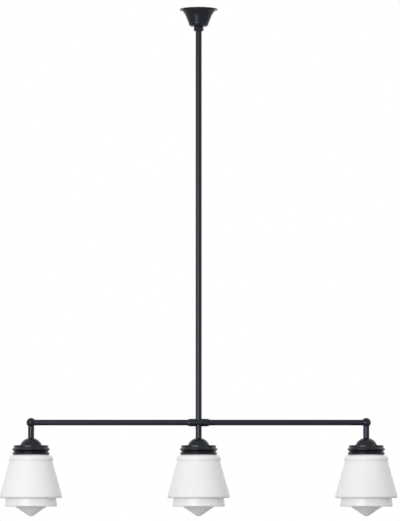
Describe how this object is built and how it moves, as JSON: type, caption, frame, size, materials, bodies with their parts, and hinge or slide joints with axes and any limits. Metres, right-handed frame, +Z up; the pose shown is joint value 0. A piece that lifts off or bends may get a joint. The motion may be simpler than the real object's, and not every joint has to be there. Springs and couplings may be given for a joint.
{
  "type": "linear island pendant light",
  "caption": "Island pendant light: a canopy and long rod carry a level bar with black ribbed galleries and flared opal glass shades below it.",
  "frame": {"origin": "on the rod's axis in the plane of the ceiling, the centre of the strap's two fixing holes", "axes": "+Z up, +X along the bar, +Y to the back"},
  "size_m": [1.0932, 0.1732, 1.399],
  "materials": {
    "black_metal": "satin",
    "zinc_steel": "satin",
    "dark_steel": "satin",
    "spring_steel": "polished",
    "brass": "satin",
    "bulb_cap": "satin",
    "white_plastic": "matt",
    "black_plastic": "satin",
    "ceramic": "matt",
    "gasket": "matt",
    "cable_sheath": "matt",
    "opal_glass": "polished",
    "bulb_glass": "frosted"
  },
  "bodies": {
    "ceiling": {"ceiling_strap": "zinc_steel", "upper_pin": "zinc_steel", "terminal_block": "white_plastic"},
    "swivel": {"swivel_block": "zinc_steel"},
    "pendant": {"stem_head": "zinc_steel", "lower_pin": "zinc_steel", "stem_rod": "black_metal", "cross_fitting": "black_metal", "bar_left": "black_metal", "bar_right": "black_metal", "elbow_left": "black_metal", "elbow_right": "black_metal", "cable_left": "cable_sheath", "cable_centre": "cable_sheath", "cable_right": "cable_sheath", "drop_stem_left": "black_metal", "lamp_nipple_left": "brass", "dome_cap_left": "black_metal", "gallery_left": "black_metal", "neck_spring_left": "spring_steel", "washer_left": "zinc_steel", "lock_nut_left": "brass", "neck_gasket_left": "gasket", "holder_cap_left": "black_plastic", "holder_insert_left": "ceramic", "holder_skirt_left": "black_plastic", "drop_stem_centre": "black_metal", "lamp_nipple_centre": "brass", "dome_cap_centre": "black_metal", "gallery_centre": "black_metal", "neck_spring_centre": "spring_steel", "washer_centre": "zinc_steel", "lock_nut_centre": "brass", "neck_gasket_centre": "gasket", "holder_cap_centre": "black_plastic", "holder_insert_centre": "ceramic", "holder_skirt_centre": "black_plastic", "drop_stem_right": "black_metal", "lamp_nipple_right": "brass", "dome_cap_right": "black_metal", "gallery_right": "black_metal", "neck_spring_right": "spring_steel", "washer_right": "zinc_steel", "lock_nut_right": "brass", "neck_gasket_right": "gasket", "holder_cap_right": "black_plastic", "holder_insert_right": "ceramic", "holder_skirt_right": "black_plastic"},
    "canopy": {"canopy_bell": "black_metal", "canopy_collar": "black_metal", "collar_screw": "dark_steel"},
    "glass_left": {"shade_left": "opal_glass"},
    "bulb_left": {"bulb_glass_left": "bulb_glass", "bulb_cap_left": "bulb_cap"},
    "glass_centre": {"shade_centre": "opal_glass"},
    "bulb_centre": {"bulb_glass_centre": "bulb_glass", "bulb_cap_centre": "bulb_cap"},
    "glass_right": {"shade_right": "opal_glass"},
    "bulb_right": {"bulb_glass_right": "bulb_glass", "bulb_cap_right": "bulb_cap"}
  },
  "joints": [
    {"name": "hanger_tilt", "type": "hinge", "parent": "ceiling", "child": "swivel", "pos_m": [0, 0, -0.009], "axis": [0, 1, 0], "range_deg": [-5, 5], "deforming": ["cable_left", "cable_centre", "cable_right"]},
    {"name": "hanger_sway", "type": "hinge", "parent": "swivel", "child": "pendant", "pos_m": [0, 0, -0.017], "axis": [1, 0, 0], "range_deg": [-5, 5], "deforming": ["cable_left", "cable_centre", "cable_right"]},
    {"name": "canopy_slide", "type": "slide", "parent": "pendant", "child": "canopy", "axis": [0, 0, -1], "range_m": [0, 0.25]},
    {"name": "shade_drop_left", "type": "slide", "parent": "pendant", "child": "glass_left", "axis": [0, 0, -1], "range_m": [0, 0.15], "deforming": ["neck_spring_left"]},
    {"name": "shade_drop_centre", "type": "slide", "parent": "pendant", "child": "glass_centre", "axis": [0, 0, -1], "range_m": [0, 0.15], "deforming": ["neck_spring_centre"]},
    {"name": "shade_drop_right", "type": "slide", "parent": "pendant", "child": "glass_right", "axis": [0, 0, -1], "range_m": [0, 0.15], "deforming": ["neck_spring_right"]},
    {"name": "bulb_out_left", "type": "slide", "parent": "pendant", "child": "bulb_left", "axis": [0, 0, -1], "range_m": [0, 0.028]},
    {"name": "bulb_out_centre", "type": "slide", "parent": "pendant", "child": "bulb_centre", "axis": [0, 0, -1], "range_m": [0, 0.028]},
    {"name": "bulb_out_right", "type": "slide", "parent": "pendant", "child": "bulb_right", "axis": [0, 0, -1], "range_m": [0, 0.028]}
  ]
}
